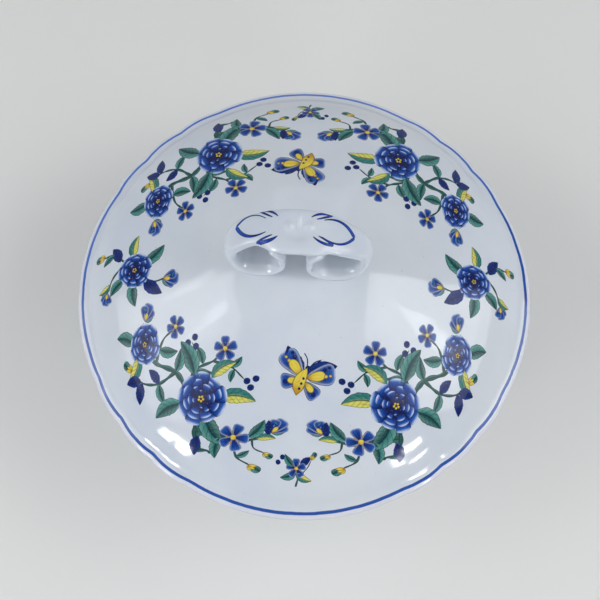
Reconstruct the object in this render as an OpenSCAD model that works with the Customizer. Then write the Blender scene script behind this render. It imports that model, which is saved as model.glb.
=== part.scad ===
// Covered rice bowl: a round footed bowl with a lobed, domed lid that lifts straight off.
// Z is up, the table is z = 0 and the origin is the middle of the foot. The handle runs along X.

/* [Lid] */
// Radius of the lid at the tips of its long lobes
lid_r = 110; // [100:1:120]
// Thickness of the rounded lip at the lid's edge
lip_t = 4.8; // [4:0.1:6]
// Thickness of the lid's wall
lid_wall = 4.2; // [3.4:0.1:5]
// Radius of the crown, seen in section
crown_r = 115; // [95:1:140]
// Slope at which the crown runs out into the cone around it, in degrees
crown_slope = 20.5; // [16:0.5:24]
// Radius of the shoulder, seen in section
shoulder_r = 62; // [52:1:70]
// Steepest slope of the shoulder, in degrees
shoulder_slope = 48; // [43:0.5:50]
// Radius of the hollow flare that leads out to the lip
flare_r = 9; // [7:0.5:11]
// Slope that is left where the flare meets the lip, in degrees
flare_slope = 10; // [5:1:14]

/* [Lobes] */
// How far the arcs of the four long lobes are drawn from points off the centre
long_lobe_set = 9.5; // [4:0.5:14]
// The same for the small lobes on each diagonal
small_lobe_set = 50; // [40:1:65]
// How much lower the small lobes stand than the long ones
small_lobe_drop = 0.5; // [0:0.1:0.7]
// Angle from one small lobe to the next
small_lobe_step = 12.3; // [10:0.1:13]
// How much the lobed outline takes off a round edge at the tips of the long lobes
lobe_trim = 0.3; // [0.2:0.1:0.6]

/* [Locating flange] */
// Play between the flange and the bowl's mouth, all round
flange_play = 1.3; // [0.8:0.1:2]
// Thickness of the flange
flange_t = 3.8; // [3:0.1:5]
// How far the flange hangs below the seat
flange_drop = 7.5; // [5:0.5:10]

/* [Handle] */
// Overall length of the handle
handle_len = 64.6; // [60:0.2:70]
// Width of the strap from front to back
handle_w = 19.4; // [16:0.2:22]
// How far the middle of the strap bulges past that width on each side
handle_bulge = 0.7; // [0:0.1:1]
// Radius that the bulge is drawn with
handle_bulge_r = 24; // [18:1:30]
// Height of the strap's top above the feet
handle_rise = 36.3; // [34.5:0.1:39]
// Thickness of the strap and of the rolled ends
strap_t = 4.2; // [3.6:0.1:4.6]
// Radius of the round space inside each rolled end
loop_r = 9.6; // [9:0.1:10]
// Radius of that space where it reaches up under the strap
crook_r = 6; // [5:0.1:6.5]
// Width of the gap between the two rolled ends
scroll_gap = 10; // [9.6:0.1:11]
// Half the length of the bridge between the rolled ends
bridge_reach = 14; // [12:0.5:16]
// How far the handle sits off the centre, as on the real lid
handle_shift = -2.3; // [-3:0.1:3]
// How deep the handle and the flange are luted into the lid
luting = 0.8; // [0.5:0.1:1.2]

/* [Bowl] */
// Height of the bowl to the top of its rim
bowl_h = 77.7; // [65:0.1:90]
// Thickness of the bowl's wall and floor
bowl_wall_t = 4.4; // [3.6:0.1:5.4]
// How far the lid stands out past the bowl's rim
lid_overhang = 4.8; // [3.5:0.1:6]
// Width of the rim from mouth to outside
rim_w = 6.6; // [6:0.1:7.5]
// Height of the rim
rim_h = 8; // [6:0.5:11]
// Radius that rounds the rim's upper edges
rim_round = 2; // [1:0.1:2.4]
// How far the wall stands inside the rim
rim_step = 1.2; // [0.8:0.1:1.6]
// Share of a quarter turn that the wall's curve covers, in degrees
wall_turn = 75; // [68:1:80]

/* [Foot] */
// Outer radius of the foot ring
foot_r = 56; // [48:1:64]
// Width of the foot ring
foot_w = 5.5; // [4.5:0.1:8]
// Height of the foot ring
foot_h = 7; // [5.5:0.5:10]
// Radius that rounds the foot's lower edges
foot_round = 1.4; // [0.8:0.1:1.8]

/* [Fits] */
// Gap between the lid's seat and the bowl's rim, so that the lid lies free
seat_gap = 0.3; // [0.2:0.05:0.6]
// How far outside the bowl's mouth the lid's seat starts
seat_set = 1.3; // [0.8:0.1:1.8]

/* [Hidden] */
glaze = "white";
arc_step = 3;       // degrees from one point of a wide arc to the next
lip_step = 10;      // the same round the lip
small_lobes = 3;    // small lobes on each diagonal
far = 400;          // longer than anything in the part
$fn = 96;

// Where the lid, the bowl and the flange meet
bowl_rim_r = lid_r - lid_overhang;
mouth_r = bowl_rim_r - rim_w;
seat_z = bowl_h + seat_gap;
flange_r = mouth_r - flange_play;
lip_r = lip_t / 2;
seat_r = mouth_r + seat_set;

// Section of the lid's outer face. Each stretch starts where the one before ends.
lip_z = seat_z + lip_r;
lip_x = lid_r + lobe_trim - lip_r;
flare_end = [lip_x + lip_r * sin(flare_slope), lip_z + lip_r * cos(flare_slope)];
flare_start = flare_end + flare_r * [sin(flare_slope) - sin(shoulder_slope),
                                     cos(flare_slope) - cos(shoulder_slope)];
shoulder_start = flare_start + shoulder_r * [sin(crown_slope) - sin(shoulder_slope),
                                             cos(crown_slope) - cos(shoulder_slope)];
crown_end_x = crown_r * sin(crown_slope);
crown_z = shoulder_start[1] + (shoulder_start[0] - crown_end_x) * tan(crown_slope)
    + crown_r * (1 - cos(crown_slope));

// Points of an arc about c, from one slope of its surface to another
function slope_arc(c, r, from, to, step = arc_step) =
    let (n = max(1, ceil(abs(to - from) / step)))
    [for (i = [0:n]) let (s = from + (to - from) * i / n) c + r * [sin(s), cos(s)]];

// The lid's section from the middle out to the lip, set in by a distance t
function lid_section(t) = concat(
    slope_arc([0, crown_z - crown_r], crown_r - t, 0, crown_slope),
    slope_arc(shoulder_start - shoulder_r * [sin(crown_slope), cos(crown_slope)],
              shoulder_r - t, crown_slope, shoulder_slope),
    slope_arc(flare_end + flare_r * [sin(flare_slope), cos(flare_slope)],
              -flare_r - t, shoulder_slope, flare_slope));

// Height of the lid's crown at a distance x from its middle
function crown_at(x) = crown_z - crown_r + sqrt(crown_r * crown_r - x * x);

// Handle: each rolled end is drawn about scroll_x, scroll_z, and the strap about bow_z
scroll_r = loop_r + strap_t;
scroll_x = handle_len / 2 - scroll_r;
foot_z = crown_at(scroll_x + abs(handle_shift)) - luting;
scroll_z = foot_z + scroll_r;
strap_z = foot_z + handle_rise;
bow_rise = strap_z - scroll_z;
bow_r = (scroll_x * scroll_x + bow_rise * bow_rise - scroll_r * scroll_r) / (2 * (bow_rise - scroll_r));
bow_z = strap_z - bow_r;
crook_x = scroll_x - loop_r + crook_r;
crook_reach = bow_r - strap_t - crook_r;
crook_z = bow_z + sqrt(crook_reach * crook_reach - crook_x * crook_x);

// Bowl: the wall runs on an ellipse from the foot up to the rim
wall_top = bowl_h - rim_h;
wall_top_r = bowl_rim_r - rim_step;
wall_a = (wall_top_r - foot_r) / sin(wall_turn);
wall_b = (wall_top - foot_h) / (1 - cos(wall_turn));

// A point of the bowl's wall at a turn u, set in by a distance t
function wall_point(u, t) =
    let (n = [-wall_b * sin(u), wall_a * cos(u)])
    [foot_r + wall_a * sin(u), foot_h + wall_b * (1 - cos(u))] + n * t / norm(n);

// The lobed outline: four long lobes, and a few small ones between them
module lobed_outline(r) {
    for (quarter = [0:3]) rotate(quarter * 90) {
        translate([long_lobe_set, 0]) circle(r - long_lobe_set, $fn = 240);
        for (i = [0:small_lobes - 1]) rotate(45 + (i - (small_lobes - 1) / 2) * small_lobe_step)
            translate([small_lobe_set, 0]) circle(r - small_lobe_drop - small_lobe_set, $fn = 180);
    }
}

// Keeps what lies inside the lobed outline of radius r
module lobed(r) {
    intersection() {
        children();
        linear_extrude(far) lobed_outline(r);
    }
}

// The lid's wall in section, from the crown to the lip
module lid_profile() {
    outer = concat(lid_section(0), slope_arc([lip_x, lip_z], lip_r, flare_slope, 180, lip_step));
    inner = [for (p = lid_section(lid_wall)) if (p[0] < seat_r && p[1] > seat_z) p];
    polygon(concat(outer, [[seat_r, seat_z]], [for (i = [len(inner) - 1:-1:0]) inner[i]]));
}

module lid_dome() {
    color(glaze)
    rotate_extrude($fn = 180) intersection() {
        lid_profile();
        square([seat_r, far]);
    }
}

module lid_rim() {
    color(glaze)
    lobed(lid_r)
    rotate_extrude($fn = 180) intersection() {
        lid_profile();
        translate([seat_r, 0]) square([far, far]);
    }
}

// A ring that locates the lid in the bowl's mouth, luted to the underside of the dome
module lid_flange() {
    color(glaze)
    rotate_extrude($fn = 180) difference() {
        translate([flange_r - flange_t, seat_z - flange_drop]) square([flange_t, far / 2]);
        polygon(concat([[0, far]], lid_section(lid_wall - luting), [[lid_r, far]]));
    }
}

// The space inside one rolled end, which keeps the strap's thickness all the way round
module scroll_space() {
    bow = [0, bow_z];
    scroll = [scroll_x, scroll_z];
    crook = [crook_x, crook_z];
    translate(scroll) circle(loop_r);
    translate(crook) circle(crook_r);
    translate([scroll_x - loop_r, scroll_z]) square([loop_r, crook_z - scroll_z]);
    intersection() {
        translate(bow) circle(bow_r - strap_t);
        polygon([crook, scroll, bow + (scroll - bow) * 3, bow + (crook - bow) * 3]);
    }
}

// The handle seen from the front
module handle_front() {
    bow = [0, bow_z];
    scroll = [scroll_x, scroll_z];
    other = [-scroll_x, scroll_z];
    difference() {
        union() {
            for (side = [-1, 1]) translate([side * scroll_x, scroll_z]) circle(scroll_r);
            intersection() {
                translate(bow) circle(bow_r);
                polygon([other, scroll, bow + (scroll - bow) * 3, bow + (other - bow) * 3]);
            }
        }
        for (side = [0, 1]) mirror([side, 0]) scroll_space();
        translate([-scroll_gap / 2, 0]) square([scroll_gap, strap_z - strap_t - scroll_gap / 2]);
        translate([0, strap_z - strap_t - scroll_gap / 2]) circle(scroll_gap / 2);
    }
}

// The handle seen from above: round ends and a slight bulge in the middle
module handle_plan() {
    square([handle_len - handle_w, handle_w], center = true);
    for (side = [-1, 1]) {
        translate([side * (handle_len - handle_w) / 2, 0]) circle(handle_w / 2);
        intersection() {
            translate([0, side * (handle_w / 2 + handle_bulge - handle_bulge_r)]) circle(handle_bulge_r);
            square([handle_len, handle_w + handle_bulge * 2], center = true);
        }
    }
}

// The handle's solid, cut to the child drawn in the front view
module handle_part() {
    color(glaze)
    translate([handle_shift, 0, 0]) intersection() {
        rotate([90, 0, 0]) linear_extrude(handle_w * 2, center = true) intersection() {
            handle_front();
            children();
        }
        linear_extrude(far) handle_plan();
    }
}

module handle_bridge() {
    handle_part() translate([-bridge_reach, crook_z]) square([bridge_reach * 2, far]);
}

// What is left of one half of the handle beside and below the bridge
module scroll_half() {
    square([far, crook_z]);
    translate([bridge_reach, 0]) square([far, far]);
}

module handle_left_scroll() {
    handle_part() mirror([1, 0]) scroll_half();
}

module handle_right_scroll() {
    handle_part() scroll_half();
}

module bowl_wall() {
    turns = ceil(wall_turn / arc_step);
    color(glaze)
    rotate_extrude($fn = 180) polygon(concat(
        [[0, foot_h]],
        [for (i = [0:turns]) wall_point(wall_turn * i / turns, 0)],
        [[wall_top_r - bowl_wall_t, wall_top]],
        [for (i = [turns - 1:-1:0]) wall_point(wall_turn * i / turns, bowl_wall_t)],
        [[0, foot_h + bowl_wall_t]]));
}

// The thickened lip that carries the lid
module bowl_rim() {
    color(glaze)
    lobed(bowl_rim_r)
    rotate_extrude($fn = 180) {
        translate([mouth_r, wall_top]) square([rim_w + lobe_trim, rim_h - rim_round]);
        translate([mouth_r + rim_round, wall_top]) square([rim_w + lobe_trim - rim_round * 2, rim_h]);
        for (x = [mouth_r + rim_round, bowl_rim_r + lobe_trim - rim_round])
            translate([x, bowl_h - rim_round]) circle(rim_round);
    }
}

module foot_ring() {
    color(glaze)
    rotate_extrude($fn = 180) {
        translate([foot_r - foot_w, foot_round]) square([foot_w, foot_h - foot_round]);
        translate([foot_r - foot_w + foot_round, 0]) square([foot_w - foot_round * 2, foot_h]);
        for (x = [foot_r - foot_w + foot_round, foot_r - foot_round])
            translate([x, foot_round]) circle(foot_round);
    }
}

bowl_wall();
bowl_rim();
foot_ring();
lid_dome();
lid_rim();
lid_flange();
handle_bridge();
handle_left_scroll();
handle_right_scroll();
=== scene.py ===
import bisect
from math import atan2, ceil, copysign, cos, exp, hypot, log, pi, radians, sin, sqrt, tan, tau

import bpy
from mathutils import Matrix, Vector
from mathutils.bvhtree import BVHTree


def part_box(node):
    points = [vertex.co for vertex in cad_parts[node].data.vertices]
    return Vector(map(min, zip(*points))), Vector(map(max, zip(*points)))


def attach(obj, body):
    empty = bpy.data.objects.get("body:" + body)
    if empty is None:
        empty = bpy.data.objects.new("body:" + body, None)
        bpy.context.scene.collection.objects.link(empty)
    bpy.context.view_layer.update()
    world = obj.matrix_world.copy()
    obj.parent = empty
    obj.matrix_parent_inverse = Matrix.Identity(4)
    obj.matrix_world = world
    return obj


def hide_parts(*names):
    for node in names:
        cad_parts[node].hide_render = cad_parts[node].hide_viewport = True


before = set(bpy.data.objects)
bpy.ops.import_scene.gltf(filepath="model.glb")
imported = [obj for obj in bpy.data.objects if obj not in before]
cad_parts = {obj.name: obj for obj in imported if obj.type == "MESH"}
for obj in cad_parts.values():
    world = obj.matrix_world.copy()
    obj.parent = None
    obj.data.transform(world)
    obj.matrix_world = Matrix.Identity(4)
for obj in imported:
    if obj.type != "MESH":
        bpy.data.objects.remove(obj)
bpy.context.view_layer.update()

mm = 0.001
print("frame loaded")


# the camera, and the places in the photo that things line up with
photoSize = 600         # the same both ways
cameraSetup = {
    "lens": 61.2,
    "sensorWidth": 36.0,
    "elevation": 71.1,      # degrees above the table
    "azimuth": 3.6,         # turned from the front towards the right
    "roll": -1.42,
    "distance": 493.9,      # mm from the target
    "target": (-1.65, -5.3, 82.8),
    "lookFrom": 330,        # mm along a ray that misses, between which the nearest place is sought
    "lookTo": 560,
}
imagePoints = {
    "outlineLeft": (79, None),
    "outlineRight": (530, None),
    "outlineTop": (None, 92.5),
    "outlineBottom": (None, 521),
    "handleLeft": (223, 246),
    "handleRight": (372.7, 251),
    "handleBack": (289, 208),
    "leftRingBottom": (259.5, 276),
    "rightRingBottom": (338, 280),
    "leftStrokeTip": (236.4, 227.2),
    "leftStrokeBack": (265.7, 218.3),
    "leftStrokeFront": (265.7, 231.7),
    "rightStrokeTip": (354.3, 238),
    "rightStrokeBack": (324.4, 220.2),
    "rightStrokeFront": (322, 237),
    "leftDabBack": (269, 212.5),
    "leftDabFront": (267, 239.5),
    "rightDabBack": (322, 215.5),
    "rightDabFront": (323, 241.5),
}


def addObject(name, data):
    thing = bpy.data.objects.new(name, data)
    bpy.context.scene.collection.objects.link(thing)
    return thing


def wayTo(azimuth, elevation):
    # the way to a place seen from the middle; azimuth runs from the front towards the right
    turn = radians(azimuth)
    rise = radians(elevation)
    return Vector((sin(turn) * cos(rise), -cos(turn) * cos(rise), sin(rise)))


def makeCamera():
    azimuth = cameraSetup["azimuth"]
    elevation = cameraSetup["elevation"]
    data = bpy.data.cameras.new("photoCamera")
    data.lens = cameraSetup["lens"]
    data.sensor_fit = "AUTO"
    data.sensor_width = cameraSetup["sensorWidth"]
    data.clip_start = 0.01
    camera = addObject("photoCamera", data)
    back = wayTo(azimuth, elevation)
    place = Vector(cameraSetup["target"]) * mm + back * cameraSetup["distance"] * mm
    camera.matrix_world = (Matrix.Translation(place) @ Matrix.Rotation(radians(azimuth), 4, "Z")
                           @ Matrix.Rotation(pi / 2 - radians(elevation), 4, "X")
                           @ Matrix.Rotation(radians(cameraSetup["roll"]), 4, "Z"))
    bpy.context.scene.camera = camera
    bpy.context.view_layer.update()
    return camera


def imageScale(camera):
    return photoSize * camera.data.lens / camera.data.sensor_width


def imageRay(camera, x, y):
    along = Vector((x - photoSize / 2, photoSize / 2 - y, -imageScale(camera)))
    return camera.matrix_world.translation.copy(), (camera.matrix_world.to_3x3() @ along).normalized()


def imagePlace(camera, point):
    # where a point of the frame shows in the image
    local = camera.matrix_world.inverted() @ point
    scale = imageScale(camera) / -local.z
    return local.x * scale + photoSize / 2, photoSize / 2 - local.y * scale


def placeOn(camera, tree, name):
    # the place on a surface that an image point names; a miss takes the place nearest the ray
    origin, direction = imageRay(camera, *imagePoints[name])
    place = tree.ray_cast(origin, direction)[0]
    if place is None:
        steps = range(cameraSetup["lookFrom"], cameraSetup["lookTo"])
        tries = [tree.find_nearest(origin + direction * step * mm) for step in steps]
        place = min(tries, key=lambda found: found[3])[0]
    return place


camera = makeCamera()
print("camera set")


def smoothStep(low, high, x):
    t = min(max((x - low) / (high - low), 0), 1)
    return t * t * (3 - 2 * t)


def blendOf(a, b, t):
    return tuple(p + (q - p) * t for p, q in zip(a, b))


def ink(red, green, blue):
    # a colour given as it shows on a screen, made linear
    shares = [c / 255 for c in (red, green, blue)]
    return tuple(((c + 0.055) / 1.055) ** 2.4 if c > 0.04045 else c / 12.92 for c in shares)


def pick(piece):
    bpy.ops.object.select_all(action="DESELECT")
    piece.select_set(True)
    bpy.context.view_layer.objects.active = piece


def justAdded(name):
    piece = bpy.context.object
    piece.name = name
    piece.data.name = name
    return piece


def applyModifiers(piece):
    pick(piece)
    for modifier in list(piece.modifiers):
        bpy.ops.object.modifier_apply(modifier=modifier.name)


def joinPieces(parts, name):
    bpy.ops.object.select_all(action="DESELECT")
    for part in parts:
        part.select_set(True)
    bpy.context.view_layer.objects.active = parts[0]
    bpy.ops.object.join()
    return justAdded(name)


def smoothShade(piece, angle):
    pick(piece)
    bpy.ops.object.shade_smooth_by_angle(angle=radians(angle))


def useOnAll(piece, tool, **settings):
    # runs one of the mesh tools on the whole of a piece
    pick(piece)
    bpy.ops.object.mode_set(mode="EDIT")
    bpy.ops.mesh.select_all(action="SELECT")
    tool(**settings)
    bpy.ops.object.mode_set(mode="OBJECT")


def mergeDoubles(piece, within=2e-6):
    useOnAll(piece, bpy.ops.mesh.remove_doubles, threshold=within)


def turnFacesOut(piece):
    useOnAll(piece, bpy.ops.mesh.normals_make_consistent, inside=False)


def addFloats(piece, name, values):
    layer = piece.data.attributes.new(name, "FLOAT", "POINT")
    layer.data.foreach_set("value", values)


def facing(slope):
    # the way a surface faces in a section, where it slopes down outwards by so many degrees
    return Vector((sin(radians(slope)), cos(radians(slope))))


def arcPoints(centre, radius, start, end, spacing):
    # an arc of a section, from one slope of its surface to another
    count = max(2, ceil(abs(radians(end - start) * radius) / spacing))
    slopes = [start + (end - start) * i / count for i in range(count + 1)]
    return [Vector(centre) + radius * facing(slope) for slope in slopes]


def linePoints(spacing, *corners):
    # straight stretches from corner to corner
    points = []
    for start, end in zip(corners, corners[1:]):
        start, end = Vector(start), Vector(end)
        count = max(1, ceil((end - start).length / spacing))
        points += [start.lerp(end, i / count) for i in range(count + 1)]
    return points


def tidySection(points, apart=0.02):
    # drops a point that repeats the one before it
    kept = [points[0]]
    for point in points[1:]:
        if (point - kept[-1]).length > apart:
            kept.append(point)
    return kept


def runsOf(points):
    runs = [0]
    for a, b in zip(points, points[1:]):
        runs.append(runs[-1] + (b - a).length)
    return runs


def spinSection(name, points, steps, masks):
    # draws a section as a chain of edges and spins it about the upright axis
    bpy.ops.mesh.primitive_circle_add(vertices=len(points), fill_type="NOTHING")
    piece = justAdded(name)
    for vertex, point in zip(piece.data.vertices, points):
        vertex.co = (point.x * mm, 0, point.y * mm)
    for label, values in masks.items():
        addFloats(piece, label, values)
    for vertex in piece.data.vertices:
        vertex.select = False
    for edge in piece.data.edges:       # the one that closes the circle goes
        edge.select = set(edge.vertices) == {0, len(points) - 1}
    bpy.ops.object.mode_set(mode="EDIT")
    bpy.ops.mesh.select_mode(type="EDGE")
    bpy.ops.mesh.delete(type="EDGE_FACE")
    bpy.ops.mesh.select_mode(type="VERT")
    bpy.ops.object.mode_set(mode="OBJECT")
    useOnAll(piece, bpy.ops.mesh.spin, steps=steps, angle=tau, center=(0, 0, 0), axis=(0, 0, 1))
    mergeDoubles(piece)
    turnFacesOut(piece)
    return piece


# the lobed edge, shared by the lid and the bowl
lobes = {
    "longSet": 9.5,        # how far the long lobes' arcs are drawn from points off the centre
    "smallSet": 64.0,
    "smallDrop": 0.5,
    "smallStep": 12.3,     # degrees from one small lobe to the next
    "soften": 0.12,        # mm over which two lobes run into each other
    "fadeFrom": 14.0,      # mm inside the edge where the lobes start, and where they are full
    "fadeTo": 2.5,
}


def lobeReach(radius, angle):
    # how far the lobed outline reaches at an angle
    reaches = []
    for quarter in range(4):
        base = quarter * pi / 2
        arcs = [(base, lobes["longSet"], radius)]
        for i in (-1, 0, 1):
            turn = base + radians(45 + i * lobes["smallStep"])
            arcs.append((turn, lobes["smallSet"], radius - lobes["smallDrop"]))
        for turn, inset, tip in arcs:
            off = angle - turn
            under = (tip - inset) ** 2 - (inset * sin(off)) ** 2
            if cos(off) > 0.5 and under > 0:
                reaches.append(inset * cos(off) + sqrt(under))
    top = max(reaches)
    soft = lobes["soften"]
    return top + soft * log(sum(exp((r - top) / soft) for r in reaches)) - soft * log(2)


def lobeShift(edge, r, angle):
    # how far in a point at radius r is drawn, so that the edge follows the lobes
    share = smoothStep(edge - lobes["fadeFrom"], edge - lobes["fadeTo"], r)
    return (edge - lobeReach(edge, angle)) * share if share > 0 else 0


def giveLobes(piece, edge):
    for vertex in piece.data.vertices:
        r = hypot(vertex.co.x, vertex.co.y) / mm
        if r < edge - lobes["fadeFrom"]:
            continue
        angle = atan2(vertex.co.y, vertex.co.x)
        scale = (r - lobeShift(edge, r, angle)) / r
        vertex.co.x *= scale
        vertex.co.y *= scale


# glaze, painted line and printed inks
glaze = {
    "body": ink(218, 223, 231),
    "cool": ink(207, 215, 226),
    "warm": ink(224, 225, 224),
    "warmShare": 0.6,
    "speck": ink(150, 140, 125),
    "speckShare": 0.35,
    "lip": ink(226, 226, 238),
    "lipShare": 0.7,
    "lipStart": (0.4, 2.2),                 # mm beyond the line, where the lip's tint comes in
    "lipEnd": (14, 9),
    "clay": ink(214, 205, 190),             # bare where the foot stands
    "clayLight": ink(232, 226, 214),
    "clayGrain": 700,
    "clayRough": 0.6,
    "pool": ink(178, 186, 196),             # painted shade inside the handle's loops, along with the glaze that runs together there
    "roughness": 0.062,
    "patchRough": 0.03,                     # how much rougher it is in patches
    "wave": (42, 1, 0.4),                   # the noise of its slow waves
    "ripple": 330,
    "rippleShare": 0.06,
    "waveDepth": 0.00022,
    "index": 1.52,
    "inkGloss": 0.22,                       # the print shines less than the glaze
}
paintLine = {
    "full": ink(16, 74, 162),
    "thin": ink(78, 114, 198),
    "width": 1.6,
    "heavySide": (0.34, -0.94, 0),          # the line carries more colour at the front
    "heavyReach": (-0.075, 0.045),          # metres towards that side
    "heavyShare": 0.55,
    "drift": (16, 2, 0.6),
    "driftShare": 0.45,
    "halfLeast": 0.40,                      # half of it, as a share of its width
    "halfMore": 0.14,                       # what a full load adds
    "shake": 0.5,                           # mm that it wanders
    "shakeScale": 150,
    "soft": 0.16,                           # mm of soft edge
    "thinToFull": (0.22, 0.60),             # the loads between which its colour deepens
}
printing = {
    "grainDrift": (60, 9),                  # scale and depth of the streaks' change from place to place
    "ribSlant": 1.3,                        # how the side veins lean towards the tip
    "sideVein": (0.03, 0.11),
    "sideVeinShare": 0.55,
    "midVein": (0.04, 0.12),
    "midVeinShare": 0.8,
    "rim": (0.14, 0.3),                     # mm from the edge of a motif
    "rimShare": 0.85,
    "streakShare": 0.3,
    "wornShare": 0.3,
}
patches = {
    # scale, detail, roughness, and the levels between which a patch comes in
    "tone": (28, 3, 0.55, 0.3, 0.7),
    "drift": (9, 1, 0.5, 0.35, 0.75),
    "speck": (900, 1, 0.5, 0.765, 0.79),
    "streak": (1.0, 2, 0.6, 0.5, 0.68),
    "worn": (1500, 2, 0.6, 0.62, 0.8),
}


def newGroup(name, inputs, outputs):
    # each socket has a name and a number or a colour to start from
    group = bpy.data.node_groups.new(name, "ShaderNodeTree")
    for way, sockets in (("INPUT", inputs), ("OUTPUT", outputs)):
        for label, value in sockets.items():
            colour = isinstance(value, tuple)
            kind = "NodeSocketColor" if colour else "NodeSocketFloat"
            socket = group.interface.new_socket(name=label, in_out=way, socket_type=kind)
            socket.default_value = (*value, 1) if colour else value
    return group, group.nodes.new("NodeGroupInput").outputs, group.nodes.new("NodeGroupOutput").inputs


def fill(tree, sockets, values):
    # a number or a colour is written on its socket, an output is linked to it
    for label, value in values.items():
        if isinstance(value, bpy.types.NodeSocket):
            tree.links.new(value, sockets[label])
        else:
            sockets[label].default_value = (*value, 1) if isinstance(value, tuple) else value


def addNode(tree, kind, values, **settings):
    node = tree.nodes.new("ShaderNode" + kind)
    for name, setting in settings.items():
        setattr(node, name, setting)
    fill(tree, node.inputs, values)
    return node


def placeGroup(tree, group, values):
    return addNode(tree, "Group", values, node_tree=group).outputs


def objectPlace(tree):
    return addNode(tree, "TexCoord", {}).outputs["Object"]


def addMath(tree, kind, *terms):
    return addNode(tree, "Math", dict(enumerate(terms)), operation=kind).outputs[0]


def addSum(tree, a, b):
    return addMath(tree, "ADD", a, b)


def addDifference(tree, a, b):
    return addMath(tree, "SUBTRACT", a, b)


def addProduct(tree, a, b):
    return addMath(tree, "MULTIPLY", a, b)


def addRamp(tree, value, low, high):
    # 0 at low, 1 at high, smooth between
    ends = {"Value": value, "From Min": low, "From Max": high}
    return addNode(tree, "MapRange", ends, interpolation_type="SMOOTHSTEP").outputs["Result"]


def addBand(tree, value, inner, outer):
    # 1 within inner of zero, 0 past outer
    return addRamp(tree, addMath(tree, "ABSOLUTE", value), outer, inner)


def addMix(tree, factor, a, b):
    # the colour sockets come after the ones for numbers and vectors
    return addNode(tree, "Mix", {0: factor, 6: a, 7: b}, data_type="RGBA").outputs[2]


def addNoise(tree, vector, scale, detail=2, roughness=0.5):
    look = {"Vector": vector, "Scale": scale, "Detail": detail, "Roughness": roughness}
    return addNode(tree, "TexNoise", look).outputs["Fac"]


def addPatches(tree, vector, kind):
    *noise, low, high = patches[kind]
    return addRamp(tree, addNoise(tree, vector, *noise), low, high)


def addAttribute(tree, name, output="Fac"):
    return addNode(tree, "Attribute", {}, attribute_name=name).outputs[output]


def makeSkinGroup():
    # slow tone changes, small marks and the faint waves of a dipped glaze
    group, given, out = newGroup("glazeSkin", {"Waves": 1.0, "Marks": 1.0},
                                 {"Colour": glaze["body"], "Tone": 0.0, "Height": 0.0})
    place = objectPlace(group)
    tone = addPatches(group, place, "tone")
    drift = addPatches(group, place, "drift")
    speck = addProduct(group, addPatches(group, place, "speck"), given["Marks"])
    colour = addMix(group, tone, glaze["cool"], glaze["body"])
    for mask, name in ((drift, "warm"), (speck, "speck")):
        colour = addMix(group, addProduct(group, mask, glaze[name + "Share"]), colour, glaze[name])
    wave = addNoise(group, place, *glaze["wave"])
    ripple = addProduct(group, addNoise(group, place, glaze["ripple"], 1), glaze["rippleShare"])
    height = addProduct(group, addSum(group, wave, ripple), given["Waves"])
    fill(group, out, {"Colour": colour, "Tone": tone, "Height": height})
    return group


def makeLineGroup():
    # a line drawn with a brush round the rim, at a length along the section
    group, given, out = newGroup("brushLine", {"Run": 0.0, "Length": 0.0, "Width": paintLine["width"]},
                                 {"Mask": 0.0, "Colour": paintLine["full"]})
    place = objectPlace(group)
    towards = addNode(group, "VectorMath", {0: place}, operation="DOT_PRODUCT")
    towards.inputs[1].default_value = paintLine["heavySide"]
    heavy = addRamp(group, towards.outputs["Value"], *paintLine["heavyReach"])
    drift = addNoise(group, place, *paintLine["drift"])
    load = addSum(group, addProduct(group, drift, paintLine["driftShare"]),
                  addProduct(group, heavy, paintLine["heavyShare"]))
    share = addSum(group, addProduct(group, load, paintLine["halfMore"]), paintLine["halfLeast"])
    half = addProduct(group, share, given["Width"])
    shake = addDifference(group, addNoise(group, place, paintLine["shakeScale"], 2), 0.5)
    away = addSum(group, addDifference(group, given["Run"], given["Length"]),
                  addProduct(group, shake, paintLine["shake"]))
    mask = addBand(group, away, addDifference(group, half, paintLine["soft"]), half)
    thick = addRamp(group, load, *paintLine["thinToFull"])
    fill(group, out, {"Mask": mask, "Colour": addMix(group, thick, paintLine["thin"], paintLine["full"])})
    return group


def makeInkGroup():
    # streaks, leaf veins, an outline and worn spots over a motif's own paint
    group, given, out = newGroup(
        "printedInk",
        {"Paint": (0, 0, 0), "Outline": (0, 0, 0), "Along": 0.0, "Across": 0.0, "Edge": 1.0,
         "Streaks Along": 1.0, "Streaks Across": 1.0, "Veins": 0.0, "Vein Depth": 0.0},
        {"Colour": (0, 0, 0), "Streak": 0.0})
    place = objectPlace(group)
    driftScale, driftDepth = printing["grainDrift"]
    grain = addNode(group, "CombineXYZ", {
        "X": addProduct(group, given["Along"], given["Streaks Along"]),
        "Y": addProduct(group, given["Across"], given["Streaks Across"]),
        "Z": addProduct(group, addNoise(group, place, driftScale, 0), driftDepth)})
    streak = addPatches(group, grain.outputs[0], "streak")
    slant = addProduct(group, addMath(group, "ABSOLUTE", given["Across"]), printing["ribSlant"])
    steps = addDifference(group, addProduct(group, given["Along"], given["Veins"]), slant)
    aside = addDifference(group, addMath(group, "FRACT", steps), 0.5)
    veins = [addProduct(group, addBand(group, where, *printing[name]), printing[name + "Share"])
             for where, name in ((aside, "sideVein"), (given["Across"], "midVein"))]
    vein = addMath(group, "MAXIMUM", *veins)
    rim = addBand(group, given["Edge"], *printing["rim"])
    colour = given["Paint"]
    for mask, depth in ((streak, printing["streakShare"]), (vein, given["Vein Depth"]),
                        (rim, printing["rimShare"])):
        colour = addMix(group, addProduct(group, mask, depth), colour, given["Outline"])
    worn = addProduct(group, addPatches(group, place, "worn"), printing["wornShare"])
    fill(group, out, {"Colour": addMix(group, worn, colour, glaze["body"]), "Streak": streak})
    return group


skinGroup = makeSkinGroup()
lineGroup = makeLineGroup()
inkGroup = makeInkGroup()


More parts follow.
